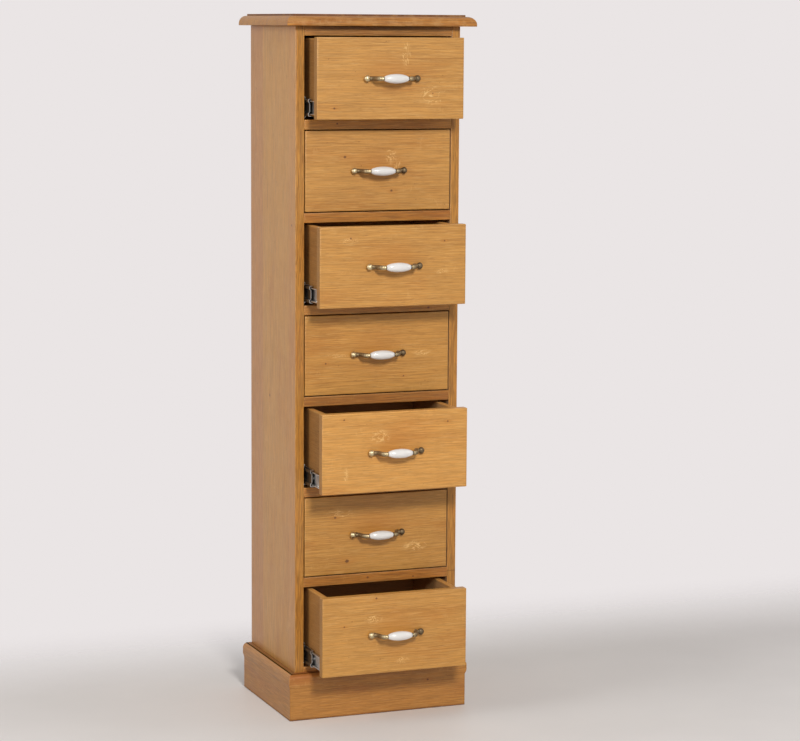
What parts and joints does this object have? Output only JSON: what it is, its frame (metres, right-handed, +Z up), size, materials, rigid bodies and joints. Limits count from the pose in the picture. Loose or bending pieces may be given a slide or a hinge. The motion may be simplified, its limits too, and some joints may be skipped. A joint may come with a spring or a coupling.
{
  "type": "semainier",
  "caption": "Tall narrow stained-wood chest with flush drawers on ball-bearing runners, moulded top and plinth, porcelain and antique-brass bow handles.",
  "frame": {"origin": "on the floor, at the middle of the back edge, where the chest meets the wall", "axes": "+Z up, +X to the right seen from the front; the front faces -Y and the back stands against the plane Y = 0"},
  "size_m": [0.436, 0.4622, 1.54],
  "materials": {
    "spruce_across": "honey stain, satin, brushed grain from left to right",
    "spruce_upright": "honey stain, satin, upright grain",
    "spruce_deep": "honey stain, satin, grain from front to back",
    "back_board": "stained plywood, matt",
    "drawer_wood": "honey stain, satin",
    "zinc_steel": "bright zinc plating",
    "antique_brass": "antique brass, burnished on the high places",
    "porcelain": "white glaze"
  },
  "bodies": {
    "carcase": {"top_board": "spruce_across", "top_rail": "spruce_across", "divider_rail_1": "spruce_across", "divider_rail_2": "spruce_across", "divider_rail_3": "spruce_across", "divider_rail_4": "spruce_across", "divider_rail_5": "spruce_across", "divider_rail_6": "spruce_across", "base_board": "spruce_across", "plinth_front": "spruce_across", "side_left": "spruce_upright", "side_right": "spruce_upright", "plinth_left": "spruce_deep", "plinth_right": "spruce_deep", "back_panel": "back_board", "plinth_back": "back_board", "corner_blocks": "back_board", "cabinet_runners": "zinc_steel"},
    "drawer_1": {"drawer_1_front": "spruce_across", "drawer_1_box": "drawer_wood", "drawer_1_handle": "antique_brass", "drawer_1_grip": "porcelain", "drawer_1_runners": "zinc_steel"},
    "drawer_1_slides": {"drawer_1_slides": "zinc_steel"},
    "drawer_2": {"drawer_2_front": "spruce_across", "drawer_2_box": "drawer_wood", "drawer_2_handle": "antique_brass", "drawer_2_grip": "porcelain", "drawer_2_runners": "zinc_steel"},
    "drawer_2_slides": {"drawer_2_slides": "zinc_steel"},
    "drawer_3": {"drawer_3_front": "spruce_across", "drawer_3_box": "drawer_wood", "drawer_3_handle": "antique_brass", "drawer_3_grip": "porcelain", "drawer_3_runners": "zinc_steel"},
    "drawer_3_slides": {"drawer_3_slides": "zinc_steel"},
    "drawer_4": {"drawer_4_front": "spruce_across", "drawer_4_box": "drawer_wood", "drawer_4_handle": "antique_brass", "drawer_4_grip": "porcelain", "drawer_4_runners": "zinc_steel"},
    "drawer_4_slides": {"drawer_4_slides": "zinc_steel"},
    "drawer_5": {"drawer_5_front": "spruce_across", "drawer_5_box": "drawer_wood", "drawer_5_handle": "antique_brass", "drawer_5_grip": "porcelain", "drawer_5_runners": "zinc_steel"},
    "drawer_5_slides": {"drawer_5_slides": "zinc_steel"},
    "drawer_6": {"drawer_6_front": "spruce_across", "drawer_6_box": "drawer_wood", "drawer_6_handle": "antique_brass", "drawer_6_grip": "porcelain", "drawer_6_runners": "zinc_steel"},
    "drawer_6_slides": {"drawer_6_slides": "zinc_steel"},
    "drawer_7": {"drawer_7_front": "spruce_across", "drawer_7_box": "drawer_wood", "drawer_7_handle": "antique_brass", "drawer_7_grip": "porcelain", "drawer_7_runners": "zinc_steel"},
    "drawer_7_slides": {"drawer_7_slides": "zinc_steel"}
  },
  "joints": [
    {"name": "drawer_1_slide", "type": "slide", "parent": "carcase", "child": "drawer_1", "axis": [0, -1, 0], "range_m": [-0.075, 0.175]},
    {"name": "drawer_1_middle_slide", "type": "slide", "parent": "carcase", "child": "drawer_1_slides", "axis": [0, -1, 0], "range_m": [-0.0375, 0.0875]},
    {"name": "drawer_2_slide", "type": "slide", "parent": "carcase", "child": "drawer_2", "axis": [0, -1, 0], "range_m": [0, 0.25]},
    {"name": "drawer_2_middle_slide", "type": "slide", "parent": "carcase", "child": "drawer_2_slides", "axis": [0, -1, 0], "range_m": [0, 0.125]},
    {"name": "drawer_3_slide", "type": "slide", "parent": "carcase", "child": "drawer_3", "axis": [0, -1, 0], "range_m": [-0.095, 0.155]},
    {"name": "drawer_3_middle_slide", "type": "slide", "parent": "carcase", "child": "drawer_3_slides", "axis": [0, -1, 0], "range_m": [-0.0475, 0.0775]},
    {"name": "drawer_4_slide", "type": "slide", "parent": "carcase", "child": "drawer_4", "axis": [0, -1, 0], "range_m": [0, 0.25]},
    {"name": "drawer_4_middle_slide", "type": "slide", "parent": "carcase", "child": "drawer_4_slides", "axis": [0, -1, 0], "range_m": [0, 0.125]},
    {"name": "drawer_5_slide", "type": "slide", "parent": "carcase", "child": "drawer_5", "axis": [0, -1, 0], "range_m": [-0.112, 0.138]},
    {"name": "drawer_5_middle_slide", "type": "slide", "parent": "carcase", "child": "drawer_5_slides", "axis": [0, -1, 0], "range_m": [-0.056, 0.069]},
    {"name": "drawer_6_slide", "type": "slide", "parent": "carcase", "child": "drawer_6", "axis": [0, -1, 0], "range_m": [0, 0.25]},
    {"name": "drawer_6_middle_slide", "type": "slide", "parent": "carcase", "child": "drawer_6_slides", "axis": [0, -1, 0], "range_m": [0, 0.125]},
    {"name": "drawer_7_slide", "type": "slide", "parent": "carcase", "child": "drawer_7", "axis": [0, -1, 0], "range_m": [-0.117, 0.133]},
    {"name": "drawer_7_middle_slide", "type": "slide", "parent": "carcase", "child": "drawer_7_slides", "axis": [0, -1, 0], "range_m": [-0.0585, 0.0665]}
  ],
  "couplings": [
    {"joint": "drawer_1_middle_slide", "follows": "drawer_1_slide", "ratio": 0.5},
    {"joint": "drawer_2_middle_slide", "follows": "drawer_2_slide", "ratio": 0.5},
    {"joint": "drawer_3_middle_slide", "follows": "drawer_3_slide", "ratio": 0.5},
    {"joint": "drawer_4_middle_slide", "follows": "drawer_4_slide", "ratio": 0.5},
    {"joint": "drawer_5_middle_slide", "follows": "drawer_5_slide", "ratio": 0.5},
    {"joint": "drawer_6_middle_slide", "follows": "drawer_6_slide", "ratio": 0.5},
    {"joint": "drawer_7_middle_slide", "follows": "drawer_7_slide", "ratio": 0.5}
  ]
}
